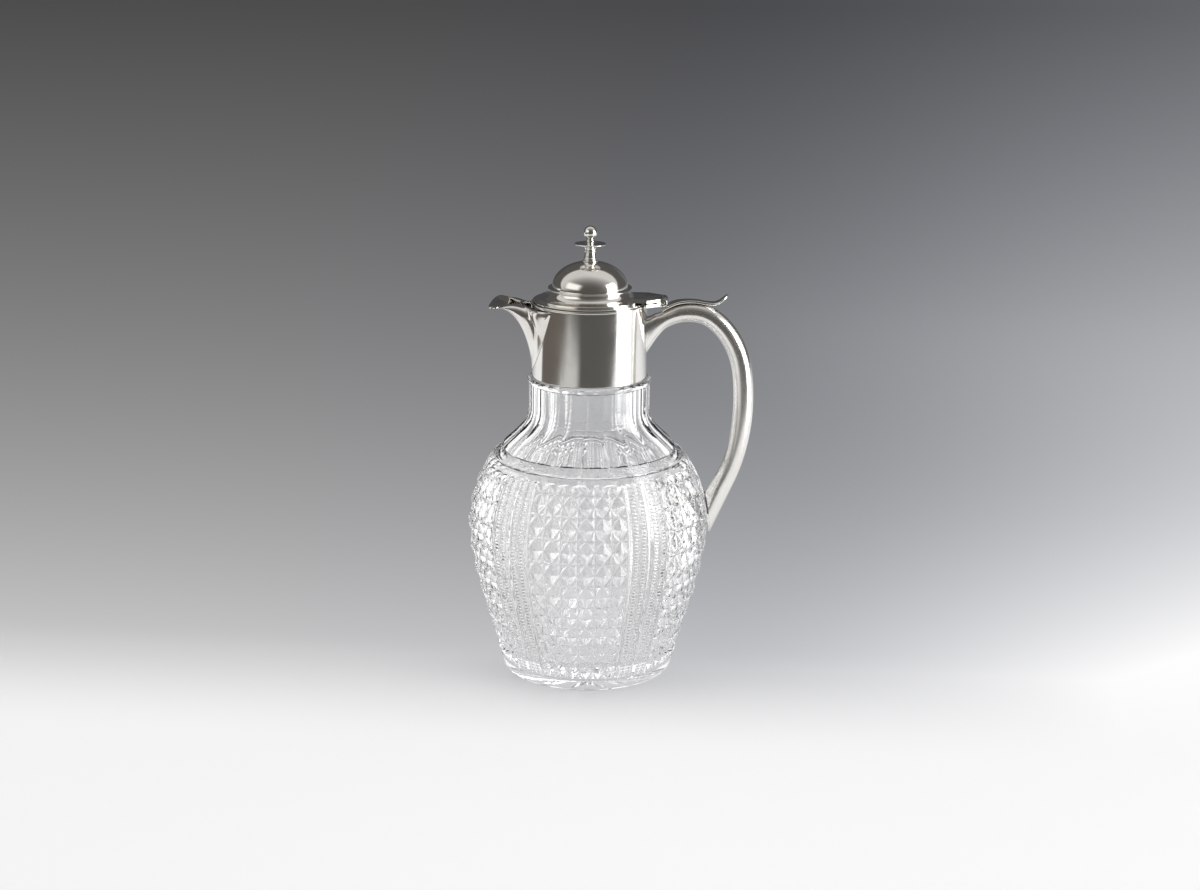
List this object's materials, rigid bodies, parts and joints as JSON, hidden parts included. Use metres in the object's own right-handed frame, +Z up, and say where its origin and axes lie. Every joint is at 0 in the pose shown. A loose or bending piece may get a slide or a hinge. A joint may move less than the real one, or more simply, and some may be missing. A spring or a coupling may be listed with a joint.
{
  "type": "claret jug",
  "caption": "Baluster cut-glass jug with a plain silver-plated neck mount, pouring spout, hinged domed lid with finial and a tall tube handle.",
  "frame": {"origin": "centre of the flat foot, on the glass axis", "axes": "+Z up along the glass axis, the spout points to -X and the handle to +X"},
  "size_m": [0.1712, 0.1455, 0.2724],
  "materials": {
    "cut_glass": "clear, polished, deeply cut",
    "silver_plate": "polished silver plate with fine wear",
    "plaster": "matt plaster",
    "brass_fittings": "dull turned brass"
  },
  "bodies": {
    "jug": {"glass_body": "cut_glass", "neck_plaster": "plaster", "neck_mount": "silver_plate", "mouth_wire": "silver_plate", "spout": "silver_plate", "handle": "silver_plate", "handle_end_plate": "silver_plate", "hinge_strap": "silver_plate", "hinge_pin": "silver_plate"},
    "lid": {"lid_flange": "silver_plate", "lid_bezel": "silver_plate", "lid_tongue": "silver_plate", "lid_ring": "silver_plate", "lid_dome": "silver_plate", "finial_stem": "silver_plate", "finial_knob": "silver_plate", "finial_stud": "brass_fittings", "finial_washer": "brass_fittings", "finial_nut": "brass_fittings"}
  },
  "joints": [
    {"name": "lid_hinge", "type": "hinge", "parent": "jug", "child": "lid", "pos_m": [0.0438, 0, 0.22843], "axis": [0, 1, 0], "range_deg": [0, 100]}
  ]
}
